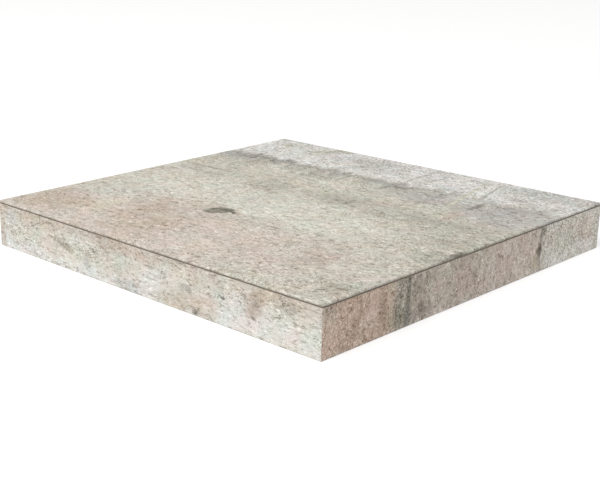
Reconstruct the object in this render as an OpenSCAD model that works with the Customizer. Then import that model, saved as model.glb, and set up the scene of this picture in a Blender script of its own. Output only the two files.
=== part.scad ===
// Corner stair tread tile with a straight drop edge on two sides.
//
// A flat tile is mitred along its front and its right-hand side. A narrow strip of the same tile
// is bonded under each of those two edges, so that a thin tile reads as a thick slab. The other
// two edges are plain cut edges, where the neighbouring tiles are laid.
//
// Frame: X along the front, Y from the front to the back, Z up. The origin is at floor level,
// under the middle of the tread. The tile stands on the feet of its two strips.

/* [Tread] */
// Width of the tread, along its front edge
tread_w = 360; // [240:10:600]
// Depth of the tread, from its front edge to the back
tread_d = 360; // [240:10:600]
// Thickness of the fired tile, with its back ribs
tile_t = 10; // [9:0.5:14]
// Bevel on the top arris of the two cut edges
cut_bevel = 0.5; // [0.2:0.1:1.5]

/* [Nosing] */
// Height of the finished drop edge, from the feet of the strips to the tread face
nosing_h = 40; // [35:1:60]
// Radius of the rounded arris between the tread face and the drop edge
nose_r = 1.5; // [1:0.25:3]
// Upright land between the rounded arris and the joint
nose_land = 0.25; // [0.25:0.25:2]
// Radius, in plan, of the tread's outer corner above the joint
tread_corner_r = 2.5; // [0.5:0.25:4]
// Radius of the upright corner below it, where the two strips meet
strip_corner_r = 1; // [0.5:0.25:3]
// Bevel on the bottom outer arris of the strips
foot_bevel = 0.5; // [0.2:0.1:1.5]

/* [Bonded joints] */
// Thickness of the adhesive in the two long mitres
joint_t = 0.8; // [0.4:0.1:1.5]
// Thickness of the adhesive in the upright mitre of the corner, which is drawn up tight
corner_joint_t = 0.1; // [0.1:0.1:1]
// Width of the flat that blunts the tips of the long mitres, so that they don't chip
mitre_flat = 0.75; // [0:0.25:1.5]
// How far the adhesive is raked back from the outer faces
joint_rake = 0.4; // [0.2:0.1:0.8]
// Leg of the hollow adhesive fillets in the inner angles
fillet_leg = 5; // [4:0.5:8]

/* [Back ribs] */
// Height of the keying ribs pressed into the back of the tile
rib_h = 0.8; // [0.4:0.1:1.2]
// Width of a rib at its crest
rib_w = 3; // [2:0.5:5]
// How much wider a rib is at its root, on each flank
rib_draft = 0.4; // [0.2:0.1:0.8]
// Target distance from one rib to the next, both ways
rib_pitch = 24; // [16:1:40]
// Plain border between the ribs and the cut edges
edge_border = 8; // [4:1:20]
// Plain border between the ribs and an adhesive fillet or a foot
fillet_border = 3; // [2:0.5:6]

/* [Hidden] */
$fn = 48;

body_t = tile_t - rib_h;                // the tile without its ribs
nose_h = nose_r + nose_land;            // upright edge that the tile keeps above its mitre
tile_back = nosing_h - body_t;          // height of the tile's plain back
mitre_top = nosing_h - nose_h;          // where the tile's mitre leaves the outer face
strip_top = mitre_top - joint_t * sqrt(2);  // where the strip's mitre leaves the outer face
strip_inner_top = strip_top + mitre_flat - body_t;  // height of a strip's inner top arris
mitre_foot = body_t - nose_h + mitre_flat;  // how far in the tile's mitre reaches its back
corner_gap = corner_joint_t / sqrt(2);  // what the corner joint takes off the length of a strip
fillet_foot = tile_back - fillet_leg;   // lowest line of a fillet on a strip's back
fillet_inner = body_t + fillet_leg;     // innermost line of a fillet on the tile's back
hollow = 1.5;                           // flatness of a fillet's hollow; 1 is a quarter circle
rib_root = 0.5;                         // how deep a rib runs into the body that it is one with
past = 1;                               // overshoot of a cutting or clipping shape

// ---- Runs: one for the front, one for the side ----
// A run lies along -X from the outer corner, with its outer face on y = 0 and +Y inwards.
// Its profile is drawn in (u, z): u inwards from the outer face, z the height.

module at_front() {
    translate([tread_w / 2, -tread_d / 2, 0]) children();
}

module at_side() {
    translate([tread_w / 2, -tread_d / 2, 0]) mirror([1, 1, 0]) children();
}

module run(length) {
    translate([-length, 0, 0])
        rotate([90, 0, 90])
            linear_extrude(height = length) children();
}

// The floor area of one run, cut at 45 degrees towards the corner, a gap short of the diagonal.
module run_share(length, gap) {
    reach = fillet_inner + past;
    translate([0, 0, -past])
        linear_extrude(height = nosing_h + 2 * past)
            polygon([[-length - past, -past], [past - gap, -past],
                     [-reach - gap, reach], [-length - past, reach]]);
}

module mitred_run(length, gap) {
    intersection() {
        run(length) children();
        run_share(length, gap);
    }
}

// The outline in plan as a column, with its one rounded outer corner.
module plan_column(corner_r) {
    translate([0, 0, -past])
        linear_extrude(height = nosing_h + 2 * past) {
            difference() {
                square([tread_w, tread_d], center = true);
                translate([tread_w / 2 - corner_r, -tread_d / 2 - past])
                    square(corner_r + past);
            }
            translate([tread_w / 2 - corner_r, -tread_d / 2 + corner_r]) circle(r = corner_r);
        }
}

// ---- Keying ribs ----

// The half width of a trapezium at height z above the rib roots, from its half width at the
// crests: ribs widen towards their roots, and the gaps between them narrow.
function widened(crest, z) = crest + rib_draft * (rib_h - z) / rib_h;
function narrowed(crest, z) = crest - rib_draft * (rib_h - z) / rib_h;

// A band of material across a width, drawn in (x, z) with the crests up.
module rib_band(width) {
    top = width / 2;
    root = widened(top, -rib_root);
    polygon([[-root, -rib_root], [root, -rib_root], [top, rib_h], [-top, rib_h]]);
}

// The gaps that leave ribs standing in that band.
module rib_gaps(width) {
    cells = max(1, round((width - rib_w) / rib_pitch));
    pitch = (width - rib_w) / cells;
    opening = (pitch - rib_w) / 2;
    low = narrowed(opening, -past);
    high = narrowed(opening, rib_h + past);
    for (i = [0 : cells - 1])
        translate([(i + 0.5) * pitch - (width - rib_w) / 2, 0])
            polygon([[-low, -past], [low, -past], [high, rib_h + past], [-high, rib_h + past]]);
}

module along_y(length) {
    translate([0, length / 2, 0]) rotate([90, 0, 0]) linear_extrude(height = length) children();
}

// A rectangular field of crossing ribs, centred on the origin, roots at z = 0 and crests up.
module rib_field(width, depth) {
    span = max(width, depth) + 4 * past;
    difference() {
        intersection() {
            along_y(span) rib_band(width);
            rotate([0, 0, 90]) along_y(span) rib_band(depth);
        }
        intersection() {
            along_y(span) rib_gaps(width);
            rotate([0, 0, 90]) along_y(span) rib_gaps(depth);
        }
    }
}

// The field on a strip's back, between its free end and the fillets.
module strip_ribs(length) {
    field_w = length - edge_border - fillet_inner - fillet_border;
    field_h = fillet_foot - 2 * fillet_border;
    translate([-length + edge_border + field_w / 2, body_t, fillet_border + field_h / 2])
        rotate([-90, 0, 0]) rib_field(field_w, field_h);
}

// ---- The pieces ----

// Across the tile: rounded arris, land and blunted mitre at u = 0, plain cut edge at the far end.
module tile_profile(depth) {
    arris_foot = nosing_h - nose_r;
    polygon([[0, mitre_top], [mitre_flat, mitre_top], [mitre_foot, tile_back], [depth, tile_back],
             [depth, nosing_h - cut_bevel], [depth - cut_bevel, nosing_h],
             [nose_r, nosing_h], [nose_r, arris_foot], [0, arris_foot]]);
    translate([nose_r, arris_foot])
        intersection() {
            circle(r = nose_r);
            translate([-nose_r, 0]) square(nose_r);
        }
}

module tread_tile() {
    clear = fillet_inner + fillet_border;
    shift = (clear - edge_border) / 2;
    color([0.79, 0.76, 0.71]) {
        intersection() {
            at_front() run(tread_w) tile_profile(tread_d);
            at_side() run(tread_d) tile_profile(tread_w);
            plan_column(tread_corner_r);
        }
        translate([-shift, shift, tile_back])
            mirror([0, 0, 1])
                rib_field(tread_w - edge_border - clear, tread_d - edge_border - clear);
    }
}

// A strip stands on its foot with its fired face outwards; its top is mitred to meet the tile.
module strip_profile() {
    polygon([[foot_bevel, 0], [body_t, 0], [body_t, strip_inner_top],
             [mitre_flat, strip_top], [0, strip_top], [0, foot_bevel]]);
}

module front_strip() {
    color([0.84, 0.82, 0.77]) {
        intersection() {
            at_front() mitred_run(tread_w, corner_gap) strip_profile();
            plan_column(strip_corner_r);
        }
        at_front() strip_ribs(tread_w);
    }
}

module side_strip() {
    color([0.68, 0.62, 0.57]) {
        intersection() {
            at_side() mitred_run(tread_d, corner_gap) strip_profile();
            plan_column(strip_corner_r);
        }
        at_side() strip_ribs(tread_d);
    }
}

// A fillet with a hollow face, in the angle under y = 0 and to the right of x = 0.
module hollow_fillet() {
    centre = fillet_leg * hollow;
    difference() {
        polygon([[0, 0], [fillet_leg, 0], [0, -fillet_leg]]);
        translate([centre, -centre]) circle(r = norm([centre, centre - fillet_leg]));
    }
}

// The adhesive between the two mitres, with its fillet where tile and strip meet inside.
module seam_profile() {
    polygon([[0, mitre_top], [mitre_flat, mitre_top], [mitre_foot, tile_back], [body_t, tile_back],
             [body_t, strip_inner_top], [mitre_flat, strip_top], [0, strip_top]]);
    translate([body_t, tile_back]) hollow_fillet();
}

module seam(length) {
    mitred_run(length, 0) seam_profile();
    difference() {
        mitred_run(length, 0) strip_profile();
        run_share(length, corner_gap);
    }
}

module joint_adhesive() {
    color([0.35, 0.32, 0.29])
        intersection() {
            union() {
                at_front() seam(tread_w);
                at_side() seam(tread_d);
                translate([tread_w / 2 - body_t, -tread_d / 2 + body_t, 0])
                    rotate([0, 0, 180])
                        linear_extrude(height = tile_back) hollow_fillet();
            }
            translate([-tread_w / 2 + joint_rake, -tread_d / 2 + joint_rake, joint_rake])
                cube([tread_w - 2 * joint_rake, tread_d - 2 * joint_rake, nosing_h]);
        }
}

tread_tile();
front_strip();
side_strip();
joint_adhesive();
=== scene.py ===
import math

import bmesh
import bpy
import numpy as np
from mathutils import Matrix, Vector, noise


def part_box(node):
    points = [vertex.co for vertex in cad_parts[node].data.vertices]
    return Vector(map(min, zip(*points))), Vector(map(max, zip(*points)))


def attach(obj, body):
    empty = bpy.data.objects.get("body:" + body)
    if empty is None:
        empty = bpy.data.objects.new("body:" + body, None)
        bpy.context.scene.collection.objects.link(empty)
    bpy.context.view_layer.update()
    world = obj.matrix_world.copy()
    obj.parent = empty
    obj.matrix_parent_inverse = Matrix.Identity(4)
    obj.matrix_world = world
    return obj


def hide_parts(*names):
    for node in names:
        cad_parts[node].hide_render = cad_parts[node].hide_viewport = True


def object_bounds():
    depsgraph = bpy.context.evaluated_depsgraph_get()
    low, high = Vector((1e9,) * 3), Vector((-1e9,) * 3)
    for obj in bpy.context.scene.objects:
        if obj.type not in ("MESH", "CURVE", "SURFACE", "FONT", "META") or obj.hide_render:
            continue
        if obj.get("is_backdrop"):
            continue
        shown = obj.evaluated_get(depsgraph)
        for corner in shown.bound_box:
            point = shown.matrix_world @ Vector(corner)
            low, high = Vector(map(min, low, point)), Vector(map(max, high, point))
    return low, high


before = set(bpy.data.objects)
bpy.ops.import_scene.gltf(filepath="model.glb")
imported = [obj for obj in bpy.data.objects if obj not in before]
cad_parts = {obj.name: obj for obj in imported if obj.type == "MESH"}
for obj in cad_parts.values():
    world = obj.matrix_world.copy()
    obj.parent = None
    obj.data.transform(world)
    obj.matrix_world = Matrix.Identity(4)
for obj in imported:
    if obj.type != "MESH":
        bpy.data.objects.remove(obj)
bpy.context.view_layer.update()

MM = 0.001

# ---- Tread tile ----
# One pressed and fired slab of porcelain stoneware, 9.2 mm thick plus its back ribs. The worn-stone
# print and its fine relief lie on the face and run over the rounded arris. The front and the side
# edge are mitred under a short land, and the left and back edges are cut and lightly bevelled.

tile_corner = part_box("tread_tile")[1] / MM
half = tile_corner.x                   # the tread is square, so one value serves X and Y
tread_top = tile_corner.z
body_t = 9.2                           # thickness without the ribs
rib_h = 0.8
nose_r = 1.5                           # rounded arris
nose_land = 0.25                       # upright land under it
tread_corner_r = 2.5                   # outer corner in plan
mitre_flat = 0.75                      # flat that blunts the tip of a mitre
cut_bevel = 0.5
tile_back = tread_top - body_t
mitre_top = tread_top - nose_r - nose_land
face_pitch = 1.32                      # mesh spacing on the tread face
arris_steps = 8                        # mesh steps round the arris
fillet_leg = 5.0                       # hollow adhesive fillets in the inner angles
fillet_border = 3.0                    # plain border between the ribs and a fillet or a foot
edge_border = 8.0                      # and between the ribs and a cut edge
clear_border = body_t + fillet_leg + fillet_border      # and all along a strip, its fillet included
rib_pitch = 24.0
crest_w = 3.0
rib_flank = 0.4

swell_size, swell_depth = 46.0, 0.09   # relief of the fired face: its slow swell,
fine_size, fine_depth = 5.5, 0.06      # its fine grain,
pit_size, pit_depth = 7.0, 0.45        # and its pits, which open where their noise
pit_level = 0.42                       # is above this level
mean_depth, most_depth = 0.10, 0.4
corner_calm = 4.0                      # the relief dies away this near to the outer corner
arris_calm = 0.6                       # and by this share on the way down the arris


def fired_relief(x, y, z, seed):
    """Depth of the fired face below its true plane, in mm: a slow swell, a fine grain and pits."""
    point = Vector((x, y, z)) + seed
    swell = noise.fractal(point / swell_size, 1.0, 2.1, 3, noise_basis="PERLIN_ORIGINAL")
    fine = noise.fractal(point / fine_size, 0.7, 2.0, 2, noise_basis="PERLIN_ORIGINAL")
    pits = max(0.0, noise.noise(point / pit_size, noise_basis="PERLIN_ORIGINAL") - pit_level)
    depth = mean_depth - swell_depth * swell - fine_depth * fine + pit_depth * pits
    return min(max(depth, 0.0), most_depth)


weld_reach = 0.0002 * MM               # points nearer than this are one
sharp_from = math.radians(28)          # edges that turn by more are shaded as sharp


def closed_mesh(name, grids, outlines, materials):
    """Welds grids of points and flat outlines into one closed mesh. Each grid is (points in rows,
    material number or one number for each cell) and each outline (points in order, number), in mm."""
    bm = bmesh.new()
    for points, numbers in grids:
        rows, columns = points.shape[0] - 1, points.shape[1] - 1
        verts = [[bm.verts.new(Vector(p) * MM) for p in row] for row in points]
        numbers = np.broadcast_to(numbers, (rows, columns))
        for i in range(rows):
            for j in range(columns):
                corners = [verts[i][j], verts[i][j + 1], verts[i + 1][j + 1], verts[i + 1][j]]
                bm.faces.new(corners).material_index = int(numbers[i, j])
    for points, number in outlines:
        bm.faces.new([bm.verts.new(Vector(p) * MM) for p in points]).material_index = number
    bmesh.ops.remove_doubles(bm, verts=bm.verts, dist=weld_reach)
    bmesh.ops.dissolve_degenerate(bm, edges=bm.edges, dist=weld_reach)
    bmesh.ops.recalc_face_normals(bm, faces=bm.faces)
    mesh = bpy.data.meshes.new(name)
    bm.to_mesh(mesh)
    bm.free()
    for material in materials:
        mesh.materials.append(material)
    mesh.shade_smooth()
    mesh.set_sharp_from_angle(angle=sharp_from)
    piece = bpy.data.objects.new(name, mesh)
    bpy.context.scene.collection.objects.link(piece)
    return piece


def add(tree, kind, *values, named=None, **settings):
    """Adds a node and returns its outputs. values go to its inputs in order and named to inputs by
    name or number, and each is a plain value or the output of another node."""
    node = tree.nodes.new(kind)
    for key, value in settings.items():
        setattr(node, key, value)
    for key, value in [*enumerate(values), *(named or {}).items()]:
        if isinstance(value, bpy.types.NodeSocket):
            tree.links.new(value, node.inputs[key])
        else:
            node.inputs[key].default_value = value
    return node.outputs


# The ribs of one field are a grid whose lines are drawn onto the rib edges: of every four lines,
# the first and the last lie at the roots of a rib and the two between them on its crest. The rim
# of the field lies at the roots all the way round.
rib_tree = bpy.data.node_groups.new("keying ribs", "GeometryNodeTree")
rib_socket = {}
for label, kind in (("Cells X", "NodeSocketInt"), ("Cells Y", "NodeSocketInt"),
                    ("Width", "NodeSocketFloat"), ("Depth", "NodeSocketFloat"),
                    ("Crest Width", "NodeSocketFloat"), ("Flank", "NodeSocketFloat"),
                    ("Height", "NodeSocketFloat"), ("Body", "NodeSocketMaterial")):
    rib_socket[label] = rib_tree.interface.new_socket(label, in_out="INPUT", socket_type=kind).identifier
rib_tree.interface.new_socket("Ribs", in_out="OUTPUT", socket_type="NodeSocketGeometry")
size = add(rib_tree, "NodeGroupInput")
cells = add(rib_tree, "ShaderNodeCombineXYZ", size["Cells X"], size["Cells Y"], 0.0)[0]
lines = add(rib_tree, "ShaderNodeVectorMath", cells, (4, 4, 0), (4, 4, 0), operation="MULTIPLY_ADD")[0]
line_count = add(rib_tree, "ShaderNodeSeparateXYZ", lines)
last = add(rib_tree, "ShaderNodeVectorMath", lines, (1, 1, 0), operation="SUBTRACT")[0]
steps = add(rib_tree, "ShaderNodeSeparateXYZ", last)
grid = add(rib_tree, "GeometryNodeMeshGrid", steps["X"], steps["Y"], line_count["X"], line_count["Y"])
place = add(rib_tree, "GeometryNodeInputPosition")[0]

# The number of each line, the rib it belongs to, and the side of that rib it lies on.
index = add(rib_tree, "ShaderNodeVectorMath", lines, (0.5, 0.5, 0), place, operation="MULTIPLY_ADD")[0]
index = add(rib_tree, "ShaderNodeVectorMath", index, operation="FLOOR")[0]
rib = add(rib_tree, "ShaderNodeVectorMath", index, (4, 4, 1), operation="DIVIDE")[0]
rib = add(rib_tree, "ShaderNodeVectorMath", rib, operation="FLOOR")[0]
side = add(rib_tree, "ShaderNodeVectorMath", rib, (-4, -4, 0), index, operation="MULTIPLY_ADD")[0]
side = add(rib_tree, "ShaderNodeVectorMath", side, (1.5, 1.5, 0), operation="SUBTRACT")[0]
off_crest = add(rib_tree, "ShaderNodeVectorMath", side, operation="ABSOLUTE")[0]
off_crest = add(rib_tree, "ShaderNodeVectorMath", off_crest, (0.5, 0.5, 0), operation="SUBTRACT")[0]

# Where each line lies: half a crest to either side of its rib, and a flank further at the roots.
half_crest = add(rib_tree, "ShaderNodeMath", size["Crest Width"], 0.5, operation="MULTIPLY")[0]
reach = add(rib_tree, "ShaderNodeVectorMath", off_crest, named={"Scale": size["Flank"]},
            operation="SCALE")[0]
reach = add(rib_tree, "ShaderNodeVectorMath", reach, half_crest, operation="ADD")[0]
reach = add(rib_tree, "ShaderNodeVectorMath", reach,
            add(rib_tree, "ShaderNodeVectorMath", side, operation="SIGN")[0], operation="MULTIPLY")[0]
extent = add(rib_tree, "ShaderNodeCombineXYZ", size["Width"], size["Depth"], 0.0)[0]
span = add(rib_tree, "ShaderNodeVectorMath", extent, size["Crest Width"], operation="SUBTRACT")[0]
pitch = add(rib_tree, "ShaderNodeVectorMath", span, cells, operation="DIVIDE")[0]
centre = add(rib_tree, "ShaderNodeVectorMath", span, (-0.5, -0.5, 0), reach, operation="MULTIPLY_ADD")[0]
line_at = add(rib_tree, "ShaderNodeVectorMath", rib, pitch, centre, operation="MULTIPLY_ADD")[0]

# How high its points stand: on the crests of either direction, and nowhere on the rim.
low = add(rib_tree, "ShaderNodeSeparateXYZ", off_crest)
low = add(rib_tree, "ShaderNodeMath", low["X"], low["Y"], operation="MINIMUM")[0]
rise = add(rib_tree, "ShaderNodeMath", size["Height"],
           add(rib_tree, "ShaderNodeMath", 1.0, low, operation="SUBTRACT")[0], operation="MULTIPLY")[0]
off_rim = add(rib_tree, "ShaderNodeVectorMath", last, index, operation="SUBTRACT")[0]
off_rim = add(rib_tree, "ShaderNodeVectorMath", index, off_rim, operation="MULTIPLY")[0]
off_rim = add(rib_tree, "ShaderNodeVectorMath", off_rim, (1, 1, 1), operation="MINIMUM")[0]
off_rim = add(rib_tree, "ShaderNodeSeparateXYZ", off_rim)
rise = add(rib_tree, "ShaderNodeMath", rise, off_rim["X"], operation="MULTIPLY")[0]
rise = add(rib_tree, "ShaderNodeMath", rise, off_rim["Y"], operation="MULTIPLY")[0]

flat_line = add(rib_tree, "ShaderNodeSeparateXYZ", line_at)
spot = add(rib_tree, "ShaderNodeCombineXYZ", flat_line["X"], flat_line["Y"], rise)[0]
moved = add(rib_tree, "GeometryNodeSetPosition", grid["Mesh"], named={"Position": spot})[0]
real = add(rib_tree, "GeometryNodeRealizeInstances", moved)[0]
clad = add(rib_tree, "GeometryNodeSetMaterial", real, named={"Material": size["Body"]})[0]
add(rib_tree, "NodeGroupOutput", clad)


def rib_field(width, depth):
    """The points of a field of keying ribs centred on the origin, in mm and in rows along X."""
    cells = [max(1, round((extent - crest_w) / rib_pitch)) for extent in (width, depth)]
    holder = bpy.data.objects.new("ribs", bpy.data.meshes.new("ribs"))
    bpy.context.scene.collection.objects.link(holder)
    ribs = holder.modifiers.new("ribs", "NODES")
    ribs.node_group = rib_tree
    for label, value in (("Cells X", cells[0]), ("Cells Y", cells[1]), ("Width", width),
                         ("Depth", depth), ("Crest Width", crest_w), ("Flank", rib_flank),
                         ("Height", rib_h), ("Body", raw_body)):
        ribs[rib_socket[label]] = value
    evaluated = holder.evaluated_get(bpy.context.evaluated_depsgraph_get())
    made = bpy.data.meshes.new_from_object(evaluated)
    points = np.array([v.co for v in made.vertices])
    bpy.data.objects.remove(holder)
    rows = 4 * cells[1] + 4
    order = np.lexsort((points[:, 1].round(3), points[:, 0].round(3)))
    return points[order].reshape(-1, rows, 3)


def ribbed_back(corners, field, to_place):
    """The ribbed back of a slab: the rib field, with engobe on its crests, and the four flat borders
    from its rim to the corners of the back, which are given in the order of the rim."""
    rim = [field[:, 0], field[-1, :], field[::-1, -1], field[0, ::-1]]
    borders = []
    for edge, (near, far) in zip(rim, zip(corners, corners[1:] + corners[:1])):
        borders.append(([near, far] + [to_place(p) for p in edge[::-1]], 1))
    placed = np.array([[to_place(p) for p in row] for row in field])
    high = field[..., 2] > rib_h / 2
    crest = high[1:, 1:] & high[:-1, 1:] & high[1:, :-1] & high[:-1, :-1]
    return (placed, np.where(crest, 2, 1)), borders


def linear(hex_colour):
    """An sRGB hex colour as linear red, green, blue and alpha."""
    levels = [int(hex_colour[k:k + 2], 16) / 255 for k in (1, 3, 5)]
    return [c / 12.92 if c <= 0.04045 else ((c + 0.055) / 1.055) ** 2.4 for c in levels] + [1.0]


def new_finish(name, roughness):
    """A new material, its node tree and its shader, which keeps its typical values otherwise."""
    finish = bpy.data.materials.new(name)
    finish.use_nodes = True
    shader = finish.node_tree.nodes["Principled BSDF"]
    shader.inputs["Roughness"].default_value = roughness
    return finish, finish.node_tree, shader


def place_in_mm(tree):
    """The place on the object, in mm."""
    return add(tree, "ShaderNodeVectorMath", add(tree, "ShaderNodeTexCoord")["Object"],
               named={"Scale": 1 / MM}, operation="SCALE")[0]


def node_group(name, inputs, outputs):
    """A new shader node group and its inputs. Both lists of sockets map a label to a type."""
    tree = bpy.data.node_groups.new(name, "ShaderNodeTree")
    for side, sockets in (("INPUT", inputs), ("OUTPUT", outputs)):
        for label, kind in sockets.items():
            tree.interface.new_socket(label, in_out=side, socket_type="NodeSocket" + kind)
    return tree, add(tree, "NodeGroupInput")


# One soft-edged patch of ink: an ellipse with its radii in mm, turned about its centre.
patch_group, given = node_group(
    "ink patch", {"Under": "Color", "Ink": "Color", "Place": "Vector", "Centre": "Vector",
                  "Radii": "Vector", "Turn": "Float", "Edge": "Float", "Amount": "Float"},
    {"Print": "Color"})
offset = add(patch_group, "ShaderNodeVectorMath", given["Place"], given["Centre"],
             operation="SUBTRACT")[0]
turned = add(patch_group, "ShaderNodeVectorRotate", offset, named={"Angle": given["Turn"]},
             rotation_type="Z_AXIS")[0]
shrunk = add(patch_group, "ShaderNodeVectorMath", turned, given["Radii"], operation="DIVIDE")[0]
reach = add(patch_group, "ShaderNodeVectorMath", shrunk, operation="LENGTH")["Value"]
rim = add(patch_group, "ShaderNodeMath", 1.0, given["Edge"], operation="ADD")[0]
core = add(patch_group, "ShaderNodeMath", 1.0, given["Edge"], operation="SUBTRACT")[0]
mask = add(patch_group, "ShaderNodeMapRange", reach, rim, core, 0.0, given["Amount"],
           interpolation_type="SMOOTHSTEP")[0]
inked = add(patch_group, "ShaderNodeMix", mask, named={6: given["Under"], 7: given["Ink"]},
            data_type="RGBA")[2]
add(patch_group, "NodeGroupOutput", inked)

# What the print has all over: slow clouds, mottle, a sandy grain, short curved strokes, dark and
# light, clustered sand and light flecks. Each noise is turned into a signal around zero. The tone
# is a step of a faintly warm black, as even in the three colours as the eye counts steps, and its
# dark steps go further than its light ones.
noise_apart = 137.0                    # mm between the places where two noises are read
signal_gain = 6.0
even_bustle, cluster_bustle, sand_bustle = 0.65, 0.3, 0.7   # what makes the grain busy
least_bustle = 0.3
stroke_from, stroke_full = 0.32, 0.06  # a stroke lies where its signal is this near to zero
lightest_stroke, darkest_stroke = 0.6, -1.0
stroke_turns = 0.9                     # how far its other signal swings from light to dark
cluster_pull = 0.6                     # how much the dark specks crowd
speck_from, speck_full = 0.9, 2.0
fleck_from, fleck_full = 0.7, 1.6
least_tone = 0.25
green_share = -0.6                     # pink takes green away as it adds red
step_bend, step_gain = -0.35, 1.03
step_colour = (0.345, 0.36, 0.385)
darkest_print = (0.1, 0.1, 0.1)
eye_gamma = 2.2
mottle_height = 1.5                    # the mottle's share in the relief, where the grain's is 1

print_group, given = node_group(
    "worn stone print", {"Print": "Color", "Place": "Vector", "Stretch": "Vector", "Flow": "Vector",
                         "Sand": "Float", "Cloud": "Float", "Mottle": "Float", "Grain": "Float",
                         "Pink": "Float", "Blue": "Float", "Stroke": "Float", "Speck": "Float",
                         "Fleck": "Float"},
    {"Print": "Color", "Height": "Float"})
drawn = add(print_group, "ShaderNodeVectorMath", given["Place"], given["Stretch"],
            operation="MULTIPLY")[0]
flow = add(print_group, "ShaderNodeVectorMath", given["Place"], given["Flow"], operation="MULTIPLY")[0]
signal = {}
for label, where, size_mm, detail, roughness, distortion in (
        ("cloud", given["Place"], 40.0, 2.0, 0.60, 0.4), ("pink", given["Place"], 18.0, 1.0, 0.50, 0.4),
        ("blue", given["Place"], 24.0, 1.0, 0.50, 0.4), ("cluster", given["Place"], 9.0, 2.0, 0.60, 0.6),
        ("mottle", flow, 9.0, 3.0, 0.72, 0.8), ("grain", drawn, 2.0, 2.0, 0.85, 0.8),
        ("stroke", flow, 6.0, 2.0, 0.60, 1.2), ("break", flow, 4.0, 1.0, 0.60, 0.0),
        ("dots", drawn, 2.0, 1.0, 0.70, 0.3), ("flecks", drawn, 1.7, 0.0, 0.50, 0.3)):
    shift = add(print_group, "ShaderNodeVectorMath", where, (noise_apart * len(signal), 0, 0),
                operation="ADD")[0]
    made = add(print_group, "ShaderNodeTexNoise", shift, named={
        "Scale": 1 / size_mm, "Detail": detail, "Roughness": roughness, "Distortion": distortion})[0]
    signal[label] = add(print_group, "ShaderNodeMath", made, signal_gain, -signal_gain / 2,
                        operation="MULTIPLY_ADD")[0]

# The tone, from the clouds, the mottle and the grain, which is busier where the sand is.
bustle = add(print_group, "ShaderNodeMath", signal["cluster"], cluster_bustle, even_bustle,
             operation="MULTIPLY_ADD")[0]
bustle = add(print_group, "ShaderNodeMath", given["Sand"], sand_bustle, bustle,
             operation="MULTIPLY_ADD")[0]
bustle = add(print_group, "ShaderNodeMath", bustle, least_bustle, operation="MAXIMUM")[0]
busy = add(print_group, "ShaderNodeMath", signal["grain"], bustle, operation="MULTIPLY")[0]
tone = 1.0
for ripple, label in ((signal["cloud"], "Cloud"), (signal["mottle"], "Mottle"), (busy, "Grain")):
    tone = add(print_group, "ShaderNodeMath", ripple, given[label], tone, operation="MULTIPLY_ADD")[0]

# The strokes, the dark specks and the light flecks, each a factor on the tone.
thin = add(print_group, "ShaderNodeMath", signal["stroke"], operation="ABSOLUTE")[0]
thin = add(print_group, "ShaderNodeMapRange", thin, stroke_from, stroke_full, 0.0, given["Stroke"])[0]
broken = add(print_group, "ShaderNodeMapRange", signal["break"], -stroke_turns, stroke_turns,
             lightest_stroke, darkest_stroke)[0]
strokes = add(print_group, "ShaderNodeMath", thin, broken, 1.0, operation="MULTIPLY_ADD")[0]
crowd = add(print_group, "ShaderNodeMath", signal["cluster"], cluster_pull, signal["dots"],
            operation="MULTIPLY_ADD")[0]
crowd = add(print_group, "ShaderNodeMath", crowd, given["Sand"], operation="ADD")[0]
specks = add(print_group, "ShaderNodeMapRange", crowd, speck_from, speck_full)[0]
specks = add(print_group, "ShaderNodeMath", specks, given["Speck"], operation="MULTIPLY")[0]
specks = add(print_group, "ShaderNodeMath", 1.0, specks, operation="SUBTRACT")[0]
flecks = add(print_group, "ShaderNodeMapRange", signal["flecks"], fleck_from, fleck_full)[0]
flecks = add(print_group, "ShaderNodeMath", flecks, given["Fleck"], 1.0, operation="MULTIPLY_ADD")[0]
for factor in (strokes, specks, flecks):
    tone = add(print_group, "ShaderNodeMath", tone, factor, operation="MULTIPLY")[0]
tone = add(print_group, "ShaderNodeMath", tone, least_tone, operation="MAXIMUM")[0]

# The colour, with its pink and blue casts, and the step of black or white that the tone asks for.
pink = add(print_group, "ShaderNodeMath", signal["pink"], given["Pink"], operation="MULTIPLY")[0]
blue = add(print_group, "ShaderNodeMath", signal["blue"], given["Blue"], operation="MULTIPLY")[0]
red_level = add(print_group, "ShaderNodeMath", pink, 1.0, operation="ADD")[0]
green_level = add(print_group, "ShaderNodeMath", pink, green_share, 1.0, operation="MULTIPLY_ADD")[0]
blue_level = add(print_group, "ShaderNodeMath", blue, green_level, operation="ADD")[0]
cast = add(print_group, "ShaderNodeCombineXYZ", red_level, green_level, blue_level)[0]
toned = add(print_group, "ShaderNodeVectorMath", given["Print"], cast, operation="MULTIPLY")[0]
toned = add(print_group, "ShaderNodeGamma", toned, 1 / eye_gamma)[0]
step = add(print_group, "ShaderNodeMath", tone, 1.0, operation="SUBTRACT")[0]
held = add(print_group, "ShaderNodeMath", step, step_bend, step_gain, operation="MULTIPLY_ADD")[0]
step = add(print_group, "ShaderNodeMath", step, held, operation="MULTIPLY")[0]
toned = add(print_group, "ShaderNodeVectorMath", step, step_colour, toned, operation="MULTIPLY_ADD")[0]
toned = add(print_group, "ShaderNodeVectorMath", toned, darkest_print, operation="MAXIMUM")[0]
toned = add(print_group, "ShaderNodeGamma", toned, eye_gamma)[0]

relief = add(print_group, "ShaderNodeMath", signal["mottle"], mottle_height, signal["grain"],
             operation="MULTIPLY_ADD")[0]
add(print_group, "NodeGroupOutput", toned, relief)

print_roughness = 0.65
ink_relief = 0.01                      # how far the ink and the grain stand out
mark_stray = (4.0, 4.0, 0.7, 0.7)      # how edges stray: size across and up, throw across and up
run_stray = (8.0, 60.0, 1.0, 12.0)
stray_gain = 4.0                       # how much of a throw the noise's small swing makes up for
arris_painted_shade = 0.8                     # painted shade: how dark the colour is made at the foot of an arris, above the joint


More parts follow.
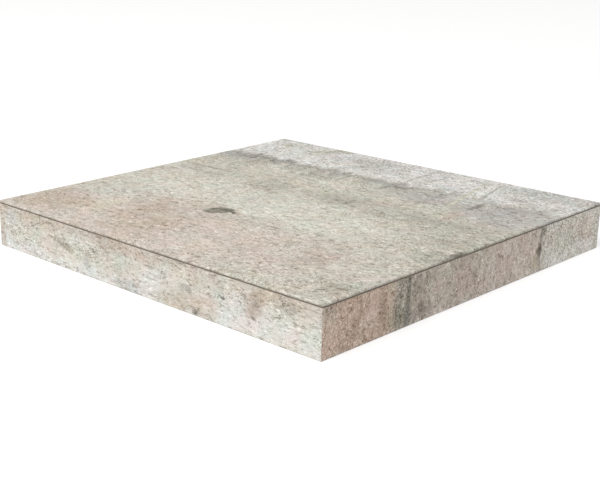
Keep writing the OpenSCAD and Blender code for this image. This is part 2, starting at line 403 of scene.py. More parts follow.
def printed_face(name, axes, ground, wander, zones, marks, sand, grain, runs=(), arris=None):
    """The printed and fired face of a tile. axes are the object axes along the face, across it and
    out of it. zones and marks are patches of ink, (centre, radii, turn in degrees, softness of the
    edge, amount, colour) in mm on the face: zones have edges that stray by wander, (size, throw) in
    mm, and marks nearly true ones. sand is a list of patches where dark grains crowd, and grain sets
    the worn stone print. runs are patches whose edges run down in drips, and arris is the two
    heights between which the colour is darkened down an arris, as painted shade above the joint."""
    finish, tree, shader = new_finish(name, print_roughness)
    spot = add(tree, "ShaderNodeSeparateXYZ", place_in_mm(tree))
    place = add(tree, "ShaderNodeCombineXYZ", *(spot[axis] for axis in axes))[0]

    def stray(across, up, throw_across, throw_up):
        swirl = add(tree, "ShaderNodeVectorMath", place, (1 / across, 1 / up, 0), operation="MULTIPLY")[0]
        swirl = add(tree, "ShaderNodeTexNoise", swirl, named={
            "Scale": 1.0, "Detail": 3.0, "Roughness": 0.6})["Color"]
        swirl = add(tree, "ShaderNodeVectorMath", swirl, (0.5, 0.5, 0.5), operation="SUBTRACT")[0]
        return add(tree, "ShaderNodeVectorMath", swirl,
                   (stray_gain * throw_across, stray_gain * throw_up, 0), place,
                   operation="MULTIPLY_ADD")[0]

    def lay(under, patches, where):
        where = add(tree, "ShaderNodeVectorMath", where, (1, 1, 0), operation="MULTIPLY")[0]
        for centre, radii, turn, edge, amount, colour in patches:
            under = add(tree, "ShaderNodeGroup", node_tree=patch_group, named={
                "Under": under, "Ink": linear(colour), "Place": where, "Centre": (*centre, 0),
                "Radii": (*radii, 1), "Turn": math.radians(-turn), "Edge": edge, "Amount": amount})[0]
        return under

    size_mm, throw = wander
    wide = stray(size_mm, size_mm, throw, throw)
    ink = lay(linear(ground), zones, wide)
    ink = lay(ink, runs, stray(*run_stray))
    ink = lay(ink, marks, stray(*mark_stray))
    crowding = lay(linear("#000000"), [(*patch, "#FFFFFF") for patch in sand], wide)
    stone = add(tree, "ShaderNodeGroup", node_tree=print_group,
                named={"Print": ink, "Place": place, "Sand": crowding, **grain})
    colour = stone["Print"]
    # Painted shade: the colour is darkened down the arris towards the joint, standing in for the shade
    # there.
    if arris:
        arris_shade_factor = add(tree, "ShaderNodeMapRange", spot["Z"], *arris, 1.0, arris_painted_shade)[0]
        colour = add(tree, "ShaderNodeVectorMath", colour, named={"Scale": arris_shade_factor}, operation="SCALE")[0]
    bump = add(tree, "ShaderNodeBump", named={
        "Strength": 1.0, "Distance": ink_relief * MM, "Height": stone["Height"]})[0]
    tree.links.new(colour, shader.inputs["Base Color"])
    tree.links.new(bump, shader.inputs["Normal"])
    return finish


# Raw porcelain stoneware body, dry-pressed on the back and sawn on the edges: an even pale beige
# grey with a fine sandy grain and no print. It is matt.
raw_body, tree, shader = new_finish("raw porcelain stoneware body", 0.85)
body_sand, body_cloud = 1.6, 40.0      # size of its sandy grain and of its slow clouds
body_relief = 0.08                     # how far that grain stands out
place = place_in_mm(tree)
sandy = add(tree, "ShaderNodeTexNoise", place, named={
    "Scale": 1 / body_sand, "Detail": 2.0, "Roughness": 0.7})[0]
cloudy = add(tree, "ShaderNodeTexNoise", place, named={"Scale": 1 / body_cloud, "Detail": 3.0})[0]
blend = add(tree, "ShaderNodeMath", sandy, cloudy, operation="ADD")[0]
blend = add(tree, "ShaderNodeMapRange", blend, 0.75, 1.25)[0]
shade = add(tree, "ShaderNodeMix", blend, named={6: linear("#A99E8E"), 7: linear("#C8BFB1")},
            data_type="RGBA")[2]
bump = add(tree, "ShaderNodeBump", named={
    "Strength": 1.0, "Distance": body_relief * MM, "Height": sandy})[0]
tree.links.new(shade, shader.inputs["Base Color"])
tree.links.new(bump, shader.inputs["Normal"])

# White alumina engobe, dusted on the rib crests so that the tile doesn't stick to the kiln rollers:
# a chalky skin through which the body shows in specks. It is matt.
engobe, tree, shader = new_finish("alumina engobe", 0.9)
engobe_speck = 3.0                     # size of the specks where it is worn
worn = add(tree, "ShaderNodeTexNoise", place_in_mm(tree), named={
    "Scale": 1 / engobe_speck, "Detail": 3.0, "Roughness": 0.75})[0]
worn = add(tree, "ShaderNodeMapRange", worn, 0.42, 0.58)[0]
shade = add(tree, "ShaderNodeMix", worn, named={6: linear("#BBB0A1"), 7: linear("#E6E2DA")},
            data_type="RGBA")[2]
tree.links.new(shade, shader.inputs["Base Color"])

# Ink-jet printed and fired face of the tread: worn cement over pinkish stone, with a smoky smear
# along the back, a light band behind it and a stone set in the cement. It is matt.
tread_print = printed_face(
    "porcelain stoneware, tread print", "XYZ", "#CCC7BA", (26, 9), [
        ((-100, -30), (75, 32), 0, 0.5, 0.8, "#DBD7CA"),        # pale cement across the middle
        ((40, -28), (75, 32), -5, 0.5, 0.9, "#D9D5C9"),
        ((0, -42), (26, 16), 0, 0.6, 0.7, "#DEDBD0"),
        ((-20, -135), (200, 62), 4, 0.35, 1.0, "#D2C7BC"),      # pinkish stone, front left
        ((-50, -120), (45, 50), 0, 0.7, 0.7, "#C8BAAB"),
        ((-85, -78), (20, 10), 0, 0.6, 0.7, "#D3C8BA"),
        ((-72, -103), (14, 18), 10, 0.6, 0.7, "#BFAF9F"),
        ((-28, -132), (14, 12), 0, 0.6, 0.6, "#C1B1A2"),
        ((-148, -145), (28, 32), 20, 0.6, 0.9, "#C0B1A0"),
        ((-108, -125), (12, 22), 10, 0.6, 0.8, "#D2CAB7"),
        ((-130, -82), (32, 18), -15, 0.6, 0.8, "#D2CEC3"),
        ((35, -125), (40, 40), 0, 0.7, 0.5, "#D4C9BC"),
        ((112, -110), (16, 26), 10, 0.6, 0.7, "#C6BAAD"),
        ((150, -120), (24, 50), 0, 0.6, 0.6, "#CAC6B9"),        # grey-green along the right
        ((120, -172), (60, 12), -4, 0.6, 0.8, "#CDC9BC"),
        ((168, -147), (12, 14), 0, 0.6, 0.8, "#B0ADA0"),
        ((170, -50), (14, 14), 0, 0.6, 0.7, "#AFADA0"),
        ((165, -8), (26, 14), 0, 0.6, 0.7, "#B2AFA2"),
        ((0, 52), (300, 34), 0, 0.6, 0.5, "#C8C4B5"),           # green-grey mottle
        ((130, 28), (60, 14), 4, 0.8, 0.7, "#B0ACA0"),
        ((25, 28), (22, 10), 15, 0.6, 0.7, "#B3AFA2"),
        ((-50, 25), (14, 12), 0, 0.6, 0.7, "#B2AEA1"),
        ((-80, 60), (36, 20), 0, 0.6, 0.7, "#D1CCBD"),
        ((0, 92), (300, 26), 2.5, 0.5, 0.45, "#BDBAB0"),        # grey under the smear
        ((152, 84), (40, 32), 0, 0.6, 0.7, "#BAB4B1"),
        ((-152, 90), (24, 14), 0, 0.5, 0.5, "#B4B2AA"),
        ((174, 125), (8, 50), 0, 0.6, 0.7, "#DBD9D3"),
        ((75, 90), (34, 22), 0, 0.6, 0.7, "#BBB6B0"),
        ((0, 154), (300, 44), 2, 0.22, 1.0, "#DDDBD6"),         # light band at the back
        ((-110, 122), (60, 14), 3, 0.5, 0.8, "#E5E3DF"),
        ((-172, 130), (14, 36), 0, 0.6, 0.7, "#E4E3DE"),
        ((-15, 122), (44, 10), 3, 0.6, 0.9, "#E4E1DD"),
        ((30, 150), (48, 16), 0, 0.6, 0.8, "#E4E1DD"),
        ((-150, 160), (12, 8), 0, 0.6, 0.8, "#C8C8B8"),
        ((-108, 158), (12, 8), 30, 0.6, 0.9, "#B7B7A5"),
        ((-95, 172), (8, 8), 0, 0.6, 0.9, "#B9B8A8"),
        ((-35, 150), (30, 20), 0, 0.6, 0.7, "#C6C1BC"),
        ((140, 165), (44, 16), 0, 0.5, 0.8, "#C6C5BF"),
        ((140, 132), (26, 8), -6, 0.7, 0.6, "#BBB6B2"),
        ((98, 108), (20, 14), 0, 0.7, 0.7, "#D5D2CA"),
    ], [
        ((-29.5, -72), (9.2, 7.6), 50, 0.12, 1.0, "#868272"),   # the stone set in the cement
        ((-24, -66), (9.2, 7.2), 50, 0.12, 1.0, "#868272"),
        ((-32.5, -65), (7, 1.6), 60, 0.5, 0.7, "#747163"),
        ((-22, -63.5), (4, 3), 20, 0.3, 0.9, "#5E5D52"),
        ((-25, -77), (6, 1.8), 48, 0.5, 0.7, "#8C7D70"),
        ((-13.5, -65.5), (4.5, 2), -35, 0.3, 1.0, "#747265"),
        ((-4, -59), (8, 4), 0, 0.6, 0.7, "#E2E0D7"),
        ((38, 146), (1.2, 17), -12, 0.5, 0.7, "#A7A29A"),       # hairlines in the light band
        ((42, 152), (1.4, 22), -10, 0.6, 0.5, "#EDECE4"),
        ((82, 142), (2.2, 36), 13, 0.6, 0.6, "#C3C1A8"),
        ((92, 98), (2.6, 22), 13, 0.7, 0.7, "#D6D3BE"),
        ((89, 148), (2, 30), 13, 0.6, 0.7, "#ECEBE6"),
        ((98, 138), (1.4, 24), 14, 0.5, 0.7, "#9C978F"),
        ((114.5, 94), (3, 14), 2, 0.6, 0.8, "#85807A"),         # and the dark upright below them
        ((117, 56), (6, 16), 8, 0.7, 0.6, "#C4AFA0"),
        ((29, 99), (11, 2.8), -18, 0.6, 0.85, "#86827A"),        # a hook under it
        ((20, 92), (2.8, 8), 0, 0.7, 0.8, "#8F8B82"),
        ((21, 148), (1.6, 26), 2, 0.7, 0.6, "#A5A19A"),
        ((178.5, -31), (2.4, 12), 0, 0.7, 0.85, "#716C61"),     # a dark streak at the side arris
        ((-146, 33), (32, 2.4), 0, 0.8, 0.75, "#A09D90"),       # short dark lines lower down
        ((-128, 17), (28, 2.0), 0, 0.8, 0.65, "#A3A093"),
        ((-55, 8), (22, 2.0), 0, 0.8, 0.5, "#A8A598"),
        ((115, 31), (28, 2.4), 0, 0.8, 0.7, "#9D998E"),
    ], [
        ((150, -20), (40, 60), 0, 0.7, 0.4), ((130, -160), (60, 24), 0, 0.7, 0.4),
        ((-60, 90), (120, 20), 0, 0.7, 0.3), ((0, 152), (300, 44), 2, 0.3, 0.65),
    ],
    {"Stretch": (0.9, 1.25, 1), "Flow": (0.6, 0.9, 1), "Cloud": 0.03, "Mottle": 0.14,
     "Grain": 0.44, "Pink": 0.02, "Blue": 0.02, "Stroke": 0.6, "Speck": 0.5, "Fleck": 0.0},
    runs=[
        ((-148, 98), (34, 6), 1, 0.8, 0.8, "#8A867F"),          # the smear
        ((-108, 101), (16, 6), 0, 0.8, 0.8, "#8C8882"),
        ((-70, 101), (26, 4), 0, 0.9, 0.5, "#9C9892"),
        ((-30, 104), (32, 5), 3, 0.9, 0.65, "#928E88"),
        ((26, 106), (26, 5), 4, 0.9, 0.6, "#96928C"),
        ((64, 112), (24, 4), 2, 0.9, 0.5, "#98948E"),
        ((142, 111), (36, 5), 0, 0.9, 0.5, "#9B9792"),
        ((-162, 92), (16, 12), 0, 0.8, 0.6, "#9A978F"),         # its drips
        ((-130, 84), (4, 22), 0, 0.8, 0.75, "#9A978D"),
        ((-112, 95), (9, 12), 0, 0.8, 0.6, "#98948C"),
        ((-84, 92), (8, 12), 0, 0.9, 0.4, "#A5A198"),
        ((-57, 84), (5, 24), 0, 0.8, 0.65, "#A29E94"),
        ((-38, 90), (5, 16), 0, 0.8, 0.65, "#A4A097"),
        ((-12, 96), (12, 9), 0, 0.9, 0.4, "#A9A59D"),
        ((30, 95), (12, 12), 0, 0.8, 0.4, "#A39F97"),
        ((58, 92), (6, 18), 0, 0.9, 0.4, "#B0ACA6"),
        ((74, 88), (5, 22), 0, 0.8, 0.6, "#A4A09C"),
        ((140, 88), (8, 18), 0, 0.9, 0.5, "#A39E9A"),
        ((168, 96), (12, 12), 0, 0.9, 0.4, "#A5A19C"),
        ((-93, 74), (16, 12), 0, 0.8, 0.75, "#DAD6C8"),          # pale runs between them
        ((-14, 72), (18, 18), 0, 0.8, 0.75, "#D9D5C6"),
        ((50, 66), (14, 12), 0, 0.8, 0.5, "#D3CEC0"),
        ((45, 42), (34, 5), 0, 0.8, 0.5, "#A9A599"),            # and dark ones lower down
        ((-68, 28), (7, 18), 0, 0.8, 0.35, "#A9A597"),
        ((18, 30), (26, 10), 0, 0.8, 0.5, "#AAA698"),
        ((-122, 52), (6, 18), 0, 0.8, 0.4, "#B2AEA1"),
    ],
    # painted shade down the arris of the nosing and of the side edge, above the joints
    arris=(tread_top - 0.5, tread_top - 1.3))

# Lines across the tile, from the cut edge to the nosing: where each lies, its height, and the
# outward direction of the face there.
flat = np.linspace(-half + cut_bevel, half - nose_r, round((2 * half - nose_r) / face_pitch))
turn = np.radians(np.linspace(0, 90, arris_steps + 1))[1:]
line_x = np.concatenate(([-half], flat, half - nose_r + nose_r * np.sin(turn), [half, half]))
line_z = np.concatenate(([tread_top - cut_bevel], np.full(len(flat), tread_top),
                         tread_top - nose_r + nose_r * np.cos(turn),
                         [mitre_top + nose_land / 2, mitre_top]))
lean = np.concatenate((np.zeros(len(flat) + 1), turn, [math.pi / 2, math.pi / 2]))
count = len(line_x)
face = np.zeros((count, count, 3))

# A point lies at the lower height of its two lines and is drawn in round the outer corner. Then it
# sinks by its relief, square to the face, but the rim of the face at the mitres stays level.
for i in range(count):
    for j in range(count):
        x, y, z = line_x[i], -line_x[j], min(line_z[i], line_z[j])
        out_x, out_y = x - (half - tread_corner_r), -y - (half - tread_corner_r)
        bend = math.hypot(out_x, out_y)
        if out_x > 0 and out_y > 0 and bend > tread_corner_r:
            x = half - tread_corner_r + out_x * tread_corner_r / bend
            y = -(half - tread_corner_r) - out_y * tread_corner_r / bend
        steep = lean[i] if line_z[i] <= line_z[j] else -lean[j]
        from_corner = math.hypot(half - x, half + y)
        depth = fired_relief(x, y, z, Vector((0, 0, 0))) * min(1.0, from_corner / corner_calm)
        depth *= 1.0 - arris_calm * abs(math.sin(steep))
        if steep >= 0:
            x -= depth * math.sin(steep)
        else:
            y += depth * math.sin(-steep)
        z -= depth * math.cos(steep)
        if count - 1 in (i, j):
            z = mitre_top
        face[i, j] = x, y, z

# The left, corner and back points of the line where the flat meets the mitre, and of its foot.
tip, foot = ([(-half, -inner, z), (inner, -inner, z), (inner, half, z)]
             for inner, z in ((half - mitre_flat, mitre_top),
                              (half - mitre_flat - (mitre_top - tile_back), tile_back)))
far = (-half, half, tile_back)
outlines = [
    (list(face[0, :]) + [tip[0], foot[0], far], 1),
    (list(face[:, 0]) + [tip[2], foot[2], far], 1),
    (list(face[:, -1]) + [tip[1], tip[0]], 1),
    (list(face[-1, :]) + [tip[1], tip[2]], 1),
    ([tip[0], tip[1], foot[1], foot[0]], 1),
    ([tip[1], tip[2], foot[2], foot[1]], 1),
]
field_w = 2 * half - edge_border - clear_border
shift = (clear_border - edge_border) / 2
field = rib_field(field_w, field_w)
ribs, borders = ribbed_back([*foot, far], field,
                            lambda p: (p[0] - shift, p[1] + shift, tile_back - p[2]))
face_number = np.zeros((count - 1, count - 1), int)
face_number[0, :] = face_number[:, 0] = 1          # the bevels are ground through the print
tread = closed_mesh("stoneware_tread", [(face, face_number), ribs], outlines + borders,
                    [tread_print, raw_body, engobe])
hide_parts("tread_tile")
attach(tread, "root")

# ---- Front strip ----
# A 37 mm high strip sawn from a tile of the same batch, so its print doesn't run on from the tread.
# It stands on its foot, its top is mitred at 45 degrees under the tile's land, and its right-hand
# end is mitred at 45 degrees to meet the side strip.

joint_t = 0.8                          # adhesive in the long mitres
corner_joint_t = 0.1                   # and in the upright one
corner_gap = corner_joint_t / math.sqrt(2)              # what that takes off each strip's length
corner_r = 1.0                         # upright outer corner
foot_bevel = 0.5
strip_pitch = 0.95                     # mesh spacing on the outer face
corner_steps = 4                       # mesh steps round its half of the upright corner
strip_top = mitre_top - joint_t * math.sqrt(2)
strip_inner_top = strip_top + mitre_flat - body_t


def strip_piece(name, to_place, seed, print_finish):
    """A strip, made along a run that ends at the outer corner: -X along it, +Y inwards from the
    outer face, Z up. to_place turns a point of the run into its place on the object."""
    length = 2 * half
    along = np.linspace(-length, -corner_r, round(length / strip_pitch))
    last_turn = math.pi / 4 - math.asin(corner_gap / corner_r / math.sqrt(2))
    sweep = np.linspace(0, last_turn, corner_steps + 1)[1:]
    run_x = np.concatenate((along, -corner_r + corner_r * np.sin(sweep)))
    run_u = np.concatenate((np.zeros(len(along)), corner_r - corner_r * np.cos(sweep)))
    up = np.linspace(foot_bevel, strip_top, round(strip_top / strip_pitch))
    points = np.zeros((len(run_x), len(up) + 1, 3))
    for i, (x, arc_u) in enumerate(zip(run_x, run_u)):
        for k, z in enumerate([0.0, *up]):
            spot = to_place((x, 0, z))
            u = max(arc_u, foot_bevel if k == 0 else 0.0)
            u += fired_relief(*spot, seed) * min(1.0, -x / corner_calm)
            points[i, k] = min(x, -corner_gap - u), u, z
    # The low, high and tip points of the free end, and of the end at the corner.
    free, corner = ([(x - body_t * slant, body_t, 0), (x - body_t * slant, body_t, strip_inner_top),
                     (x - mitre_flat * slant, mitre_flat, strip_top)]
                    for x, slant in ((-length, 0), (-corner_gap, 1)))
    outlines = [
        (list(points[0, :]) + [free[2], free[1], free[0]], 1),
        (list(points[-1, :]) + [corner[2], corner[1], corner[0]], 1),
        (list(points[:, 0]) + [corner[0], free[0]], 1),
        (list(points[:, -1]) + [corner[2], free[2]], 1),
        ([free[2], corner[2], corner[1], free[1]], 1),
    ]
    width = length - edge_border - clear_border
    depth = tile_back - fillet_leg - 2 * fillet_border
    field = rib_field(width, depth)
    middle_x = -length + edge_border + width / 2
    middle_z = fillet_border + depth / 2
    ribs, borders = ribbed_back([free[0], corner[0], corner[1], free[1]], field,
                                lambda p: (p[0] + middle_x, body_t + p[2], p[1] + middle_z))
    face_number = np.zeros((len(run_x) - 1, len(up)), int)
    face_number[:, 0] = 1
    placed = [(np.array([[to_place(p) for p in row] for row in rows]), numbers)
              for rows, numbers in ((points, face_number), ribs)]
    return closed_mesh(name, placed, [([to_place(p) for p in loop], n) for loop, n in outlines + borders],
                       [print_finish, raw_body, engobe])


# Ink-jet printed and fired face of the front strip: cool white cement, painted paler low down as
# bounce light from the floor, pinkish beige along the top, and clusters of dark sand. It is matt.
front_print = printed_face(
    "porcelain stoneware, front print", "XZY", "#DFDCD2", (14, 4), [
        ((0, 38), (400, 10), 0, 0.6, 0.8, "#D0C5B8"),           # pinkish beige along the joint
        ((-127, 32), (36, 6), 3, 0.6, 0.5, "#D6CABD"),
        ((-72, 20), (22, 10), 0, 0.6, 0.75, "#E6E2D9"),
        ((-25, 33), (28, 6), 0, 0.6, 0.7, "#C9BCAF"),
        ((0, 0), (400, 12), 0, 0.6, 0.8, "#EBEAE5"),            # cool white near the foot: painted bounce light from the floor
        ((-110, 18), (20, 8), 0, 0.6, 0.6, "#DCD4C9"),
        ((-136, 4), (12, 6), 0, 0.7, 0.6, "#D6D2C9"),
        ((-177, 18), (4, 40), 0, 0.6, 0.7, "#CCBFB1"),
        ((-92, 18), (9, 4), 8, 0.6, 0.6, "#C2BEB0"),
        ((-40, 17), (36, 9), 0, 0.6, 0.6, "#CECABD"),
        ((-12, 4), (16, 5), 0, 0.6, 0.8, "#C8C6C0"),
        ((9, 15), (9, 7), 0, 0.6, 0.8, "#E2DFD8"),
        ((58, 29), (18, 6), 0, 0.6, 0.7, "#D9D4C4"),
        ((42, 7), (22, 7), 5, 0.5, 0.9, "#D0C5B6"),
        ((70, 8), (14, 9), 0, 0.6, 0.8, "#D5CABC"),
        ((72, 16), (12, 7), 0, 0.6, 0.5, "#D6CCBE"),
        ((101, 11), (13, 12), 0, 0.6, 0.7, "#E6E4DE"),
        ((-47, 13), (10, 8), 0, 0.7, 0.6, "#DFDCD2"),
        ((-33, 17), (6, 5), 0, 0.7, 0.6, "#DCD7CB"),
        ((100, 35), (16, 5), 0, 0.6, 0.7, "#D9D5C9"),
        ((122, 27), (9, 8), 0, 0.6, 0.85, "#C1B3A4"),
        ((116.5, 18), (5, 8), -10, 0.6, 0.8, "#C3B5A6"),
        ((150, 8), (26, 12), 0, 0.6, 0.7, "#E4E1D8"),
        ((150, 32), (10, 4), 0, 0.6, 0.8, "#C4BBAE"),
        ((-165, 29), (8, 5), 0, 0.6, 0.7, "#CFD2CB"),
    ], [
        ((-123, 34), (0.7, 3.5), -8, 0.5, 0.8, "#8E857B"),      # hairline
        ((-129.5, 28.5), (6.5, 0.7), 25, 0.5, 0.7, "#978E84"),
        ((-92, 19), (8, 1.6), -20, 0.8, 0.45, "#9A9688"),        # dark nests of sand
        ((-86, 20), (4, 1.2), -25, 0.8, 0.5, "#8B887B"),
        ((-54, 23), (4, 1), -25, 0.6, 0.7, "#9F9B8F"),
        ((-63, 12), (3, 5), 0, 0.8, 0.5, "#A9A9A4"),
        ((-75, 2.5), (2, 1.8), 0, 0.6, 0.8, "#98969A"),
        ((88.5, 21), (2.6, 1.4), -20, 0.5, 0.8, "#77756B"),
        ((110, 27), (2, 1.6), 0, 0.6, 0.7, "#908D82"),
        ((118.5, 14), (2.6, 1.2), -20, 0.7, 0.75, "#82766A"),
        ((121, 25), (3, 1.6), 0, 0.8, 0.5, "#9D8F81"),
        ((152, 28), (6, 3.5), 0, 0.9, 0.5, "#A5A198"),
        ((148.5, 17), (2, 0.8), 0, 0.5, 0.7, "#98958B"),
        ((50, 19), (6, 3), 0, 0.6, 0.5, "#A39A92"),
        ((61.5, 2.5), (2.6, 2), 0, 0.6, 0.85, "#756C63"),
        ((58.5, 5.5), (2.6, 1.4), -20, 0.7, 0.55, "#958B81"),
        ((65, 3.5), (2.4, 1.6), 0, 0.7, 0.5, "#9F9388"),
    ], [
        ((0, 37), (400, 12), 0, 0.7, 0.2), ((-150, 17), (22, 10), 0, 0.6, 0.6),
        ((-105, 2), (26, 3), 0, 0.6, 0.6), ((-92, 18), (14, 6), 0, 0.6, 0.6),
        ((-55, 22), (16, 8), 0, 0.6, 0.5), ((-12, 5), (18, 6), 0, 0.6, 0.5),
        ((94, 27), (12, 5), 0, 0.6, 0.6), ((146, 28), (12, 7), 0, 0.6, 0.5),
    ],
    {"Stretch": (0.9, 1.85, 1), "Flow": (0.55, 1.5, 1), "Cloud": 0.025, "Mottle": 0.07,
     "Grain": 0.28, "Pink": 0.025, "Blue": 0.025, "Stroke": 0.6, "Speck": 0.75, "Fleck": 0.0})
front = strip_piece("stoneware_front_strip", lambda p: (half + p[0], -half + p[1], p[2]),
                    Vector((0, 70, 300)), front_print)
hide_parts("front_strip")
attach(front, "root")

# ---- Side strip ----
# The same for the side: a strip sawn from another tile of the batch, with the same foot and mitres
# in mirror image about the corner. It is bonded under the tile and against the front strip.

# Ink-jet printed and fired face of the side strip: pinkish brown, grey-pink and green-grey stones
# with printed joints between them, all drawn out upwards, and painted paler along the foot as
# bounce light from the floor. It is matt.
side_print = printed_face(
    "porcelain stoneware, side print", "YZX", "#CEC3B6", (14, 2.5), [
        ((-142, 18), (44, 80), 0, 0.1, 1.0, "#D3BDAC"),         # pinkish brown stone
        ((-144, 20), (6, 15), 5, 0.6, 0.7, "#C1AA98"),
        ((-138, 12), (4, 9), 0, 0.6, 0.6, "#DCC8B8"),
        ((-116, 20), (5, 17), 0, 0.6, 0.8, "#BAA392"),
        ((-107, 18), (3, 40), 0, 0.5, 0.9, "#CDC0AC"),
        ((-94, 18), (10, 60), 0, 0.4, 0.9, "#ADA698"),          # green-grey band
        ((-76, 21), (7, 17), 12, 0.6, 0.65, "#9E938A"),
        ((-72, 6), (15, 6), 0, 0.6, 0.8, "#9B9088"),
        ((-60, 28), (12, 8), 0, 0.6, 0.5, "#B9AFA3"),
        ((-42, 31), (8, 5), 0, 0.6, 0.9, "#D1CCBE"),
        ((-22, 14), (20, 12), 0, 0.6, 0.7, "#C5B4A8"),
        ((-20, 33), (10, 6), 0, 0.6, 0.7, "#BDB0A4"),
        ((50, 22), (38, 20), 0, 0.6, 0.8, "#DDCEC2"),
        ((0, 0), (86, 7), 0, 0.6, 0.8, "#E0D5CA"),             # paler along the foot, with the next patch: painted bounce light from the floor
        ((-145, 0), (40, 5), 0, 0.6, 0.6, "#DCC8B9"),
        ((136, 18), (50, 80), 0, 0.08, 1.0, "#E1DDD2"),         # green-grey stone
        ((155, 22), (15, 14), 0, 0.6, 0.8, "#E4D9CE"),
        # painted bounce light from the floor along the foot at the far end
        ((145, 1), (48, 10), 0, 0.6, 0.9, "#F8F4ED"),
        ((178, 18), (4, 40), 0, 0.6, 0.6, "#DAD7CC"),
    ], [
        ((-172, 34), (10, 6), -20, 0.9, 0.35, "#8F897B"),
        ((-87.5, 30), (2.6, 22), 1, 0.7, 0.8, "#777265"),       # dark uprights in the band
        ((-89, 6), (3.5, 10), 3, 0.7, 0.7, "#87857F"),
        ((-97, 24), (1.0, 20), 0, 0.6, 0.6, "#8F887C"),
        ((-101, 12), (0.8, 14), 0, 0.6, 0.5, "#948D81"),
        ((-92.5, 22), (0.9, 14), 0, 0.6, 0.6, "#CFCABD"),
        ((-84.2, 27), (0.8, 10), 0, 0.6, 0.7, "#D6D2C6"),
        ((86, 18), (1.6, 60), 0, 0.6, 0.45, "#8A8277"),         # printed joint
        ((85, 18.5), (3.5, 5), 0, 0.5, 0.9, "#655C52"),
        ((88.5, 34), (3, 5), 0, 0.6, 0.8, "#7F776A"),
        ((81, 7), (3, 3), 0, 0.6, 0.6, "#D8C7A8"),
    ], [
        ((-165, 32), (16, 8), 0, 0.6, 0.4), ((-95, 18), (9, 30), 0, 0.6, 0.5),
        ((135, 22), (46, 20), 0, 0.3, 0.5),
    ],
    {"Stretch": (1.15, 1.1, 1), "Flow": (0.8, 0.55, 1), "Cloud": 0.04, "Mottle": 0.16,
     "Grain": 0.6, "Pink": 0.02, "Blue": 0.02, "Stroke": 0.55, "Speck": 0.25, "Fleck": 0.1})
side = strip_piece("stoneware_side_strip", lambda p: (half - p[1], -half - p[0], p[2]),
                   Vector((90, 0, 700)), side_print)
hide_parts("side_strip")
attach(side, "root")

# ---- Joint adhesive ----
# Two-part epoxy that bonds the mitres: it fills the thin joints, raked a little below the faces, and
# stands as a hollow fillet in each inner corner. It was wiped off by hand while soft.

# Cured epoxy: a dark grey-brown plastic with faint smears, a little less matt than the tile.
epoxy, tree, shader = new_finish("cured grey-brown epoxy", 0.55)
smear_size, smear_relief = 7.0, 0.3    # how wide its smears are and how far they stand out
smears = add(tree, "ShaderNodeTexNoise", place_in_mm(tree), named={
    "Scale": 1 / smear_size, "Detail": 3.0, "Roughness": 0.7})[0]
smears = add(tree, "ShaderNodeMapRange", smears, 0.35, 0.65)[0]
shade = add(tree, "ShaderNodeMix", smears, named={6: linear("#655C50"), 7: linear("#85796B")},
            data_type="RGBA")[2]
bump = add(tree, "ShaderNodeBump", named={
    "Strength": 1.0, "Distance": smear_relief * MM, "Height": smears})[0]
tree.links.new(shade, shader.inputs["Base Color"])
tree.links.new(bump, shader.inputs["Normal"])
for slot in bpy.data.objects["joint_adhesive"].material_slots:
    slot.material = epoxy

# ---- Stage ----
# A matt white studio floor that the part stands on, a soft white dome and one large softbox over
# the front. What the camera sees behind the part is plain white.

camera_azimuth, camera_elevation = math.radians(46.0), math.radians(17.43)
camera_distance = 862.4
camera_aim = Vector((42.8, -154.4, tread_top))
camera = bpy.data.objects.new("camera", bpy.data.cameras.new("camera"))
bpy.context.scene.collection.objects.link(camera)
bpy.context.scene.camera = camera
back = Vector((math.sin(camera_azimuth) * math.cos(camera_elevation),
               -math.cos(camera_azimuth) * math.cos(camera_elevation), math.sin(camera_elevation)))
camera.location = (camera_aim + back * camera_distance) * MM
camera.rotation_mode = "QUATERNION"
camera.rotation_quaternion = (-back).to_track_quat("-Z", "Y")
camera.data.lens = 70.45
camera.data.sensor_width = 36
camera.data.shift_x = 0.1618


def studio_white(tree, soft, seen_white):
    """Mixes what the camera, mirrors and glass see, a plain white, with what lights the object."""
    path = add(tree, "ShaderNodeLightPath")
    seen = add(tree, "ShaderNodeMath", path["Is Glossy Ray"], path["Is Transmission Ray"],
               operation="MAXIMUM")[0]
    seen = add(tree, "ShaderNodeMath", path["Is Camera Ray"], seen, operation="MAXIMUM")[0]
    return add(tree, "ShaderNodeMixShader", seen, soft, seen_white)[0]


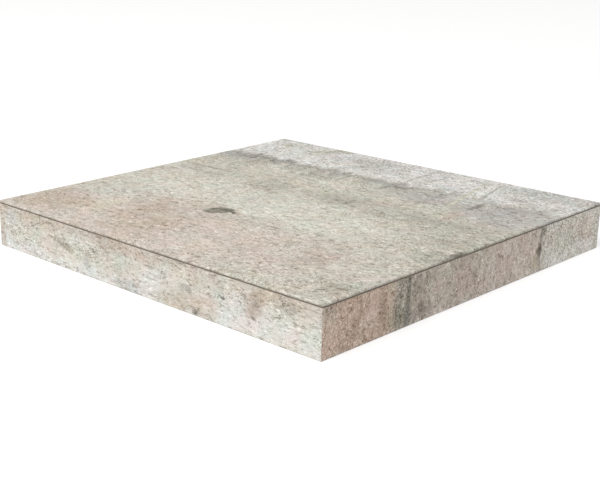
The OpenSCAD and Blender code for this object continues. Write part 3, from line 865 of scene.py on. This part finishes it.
dome_colour, dome_level = (1.0, 0.99, 0.975, 1), 0.48
world = bpy.data.worlds.new("studio")
bpy.context.scene.world = world
world.use_nodes = True
tree = world.node_tree
tree.nodes.clear()
dome = add(tree, "ShaderNodeBackground", dome_colour, dome_level)[0]
white = add(tree, "ShaderNodeBackground", (1, 1, 1, 1), 1.0)[0]
add(tree, "ShaderNodeOutputWorld", studio_white(tree, dome, white))

# Matt white floor paint. Where the camera sees it, it is mostly glow, so that it comes out white
# and still keeps the soft shadow of the part.
floor_reach = 4.0                      # metres
floor_paint, seen_paint, seen_glow = (0.72, 0.72, 0.72, 1), (0.5, 0.5, 0.5, 1), 0.64
floor_mesh = bpy.data.meshes.new("studio_floor")
floor_mesh.from_pydata([(x * floor_reach, y * floor_reach, 0)
                        for x, y in ((-1, -1), (1, -1), (1, 1), (-1, 1))], [], [(0, 1, 2, 3)])
floor = bpy.data.objects.new("studio_floor", floor_mesh)
bpy.context.scene.collection.objects.link(floor)
floor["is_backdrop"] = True
paint = bpy.data.materials.new("matt white floor paint")
floor_mesh.materials.append(paint)
paint.use_nodes = True
tree = paint.node_tree
tree.nodes.clear()
matt = add(tree, "ShaderNodeBsdfDiffuse", floor_paint)[0]
pale = add(tree, "ShaderNodeBsdfDiffuse", seen_paint)[0]
glow = add(tree, "ShaderNodeEmission", (1, 1, 1, 1), seen_glow)[0]
seen_floor = add(tree, "ShaderNodeAddShader", pale, glow)[0]
add(tree, "ShaderNodeOutputMaterial", studio_white(tree, matt, seen_floor))

key_direction = Vector((0.0, -0.42, 0.55)).normalized()
key_distance, key_width, key_power = 4.0, 2.4, 99.5         # metres, metres, watts
key = bpy.data.lights.new("key_softbox", "AREA")
key.shape, key.size, key.energy = "SQUARE", key_width, key_power
holder = bpy.data.objects.new("key_softbox", key)
holder.location = key_direction * key_distance
holder.rotation_mode = "QUATERNION"
holder.rotation_quaternion = key_direction.to_track_quat("Z", "Y")
bpy.context.scene.collection.objects.link(holder)
bpy.context.scene.view_settings.view_transform = "Standard"

low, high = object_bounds()
